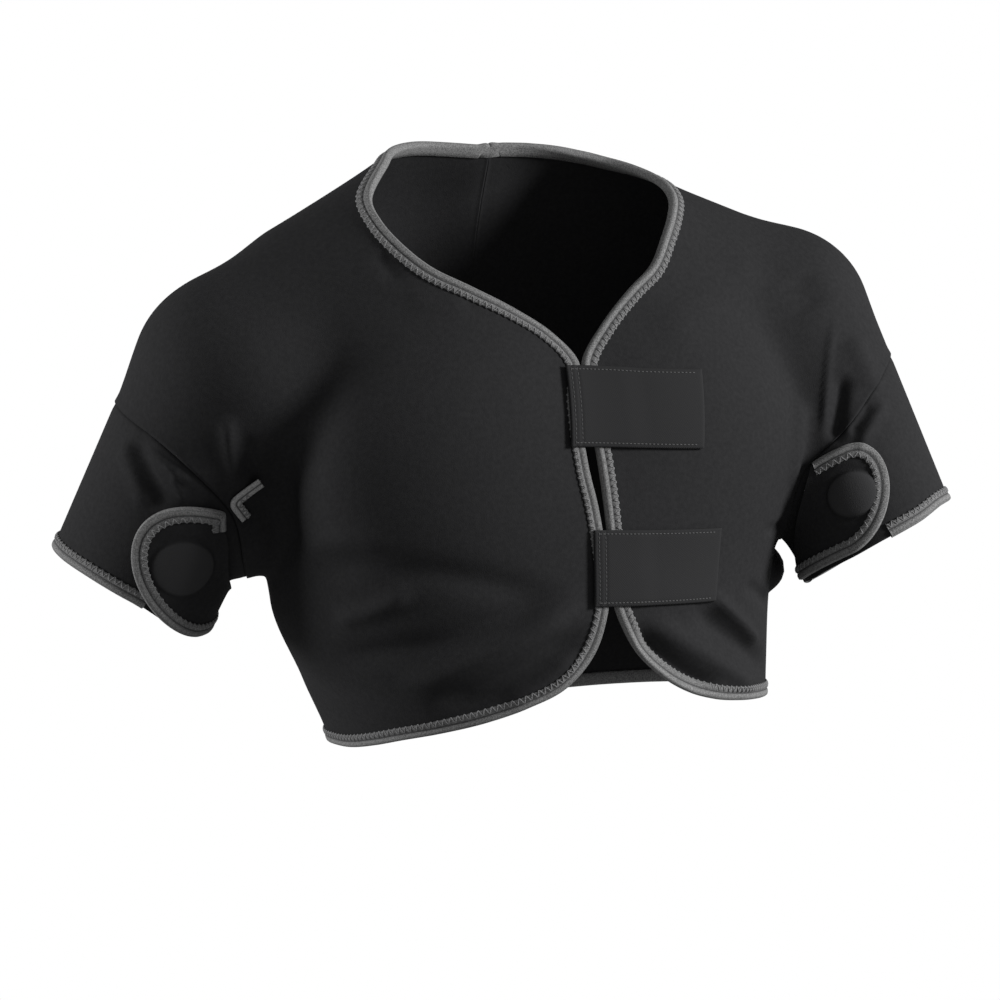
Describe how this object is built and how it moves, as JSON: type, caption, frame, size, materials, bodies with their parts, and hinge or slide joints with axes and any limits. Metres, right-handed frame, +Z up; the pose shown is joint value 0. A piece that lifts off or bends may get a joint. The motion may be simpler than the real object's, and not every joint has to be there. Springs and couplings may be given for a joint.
{
  "type": "shoulder brace",
  "caption": "Worn double shoulder brace in black neoprene: cropped body panels, short sleeves with rounded flaps, front hook-and-loop straps and grey bound edges.",
  "frame": {"origin": "middle of the neck opening, at the height where it crosses the shoulder ridges", "axes": "+Z up, -Y out of the front of the chest, +X towards the wearer's left arm"},
  "size_m": [0.6133, 0.2501, 0.4084],
  "materials": {
    "neoprene": "matte",
    "strap": "matte",
    "binding": "matte"
  },
  "bodies": {
    "root": {"right_body_panel": "neoprene", "left_body_panel": "neoprene", "right_sleeve": "neoprene", "left_sleeve": "neoprene", "right_sleeve_flap": "neoprene", "left_sleeve_flap": "neoprene", "upper_front_strap": "strap", "lower_front_strap": "strap", "edge_binding": "binding", "right_sleeve_binding": "binding", "left_sleeve_binding": "binding", "right_flap_binding": "binding", "left_flap_binding": "binding", "right_armpit_binding_end": "binding"}
  },
  "joints": []
}
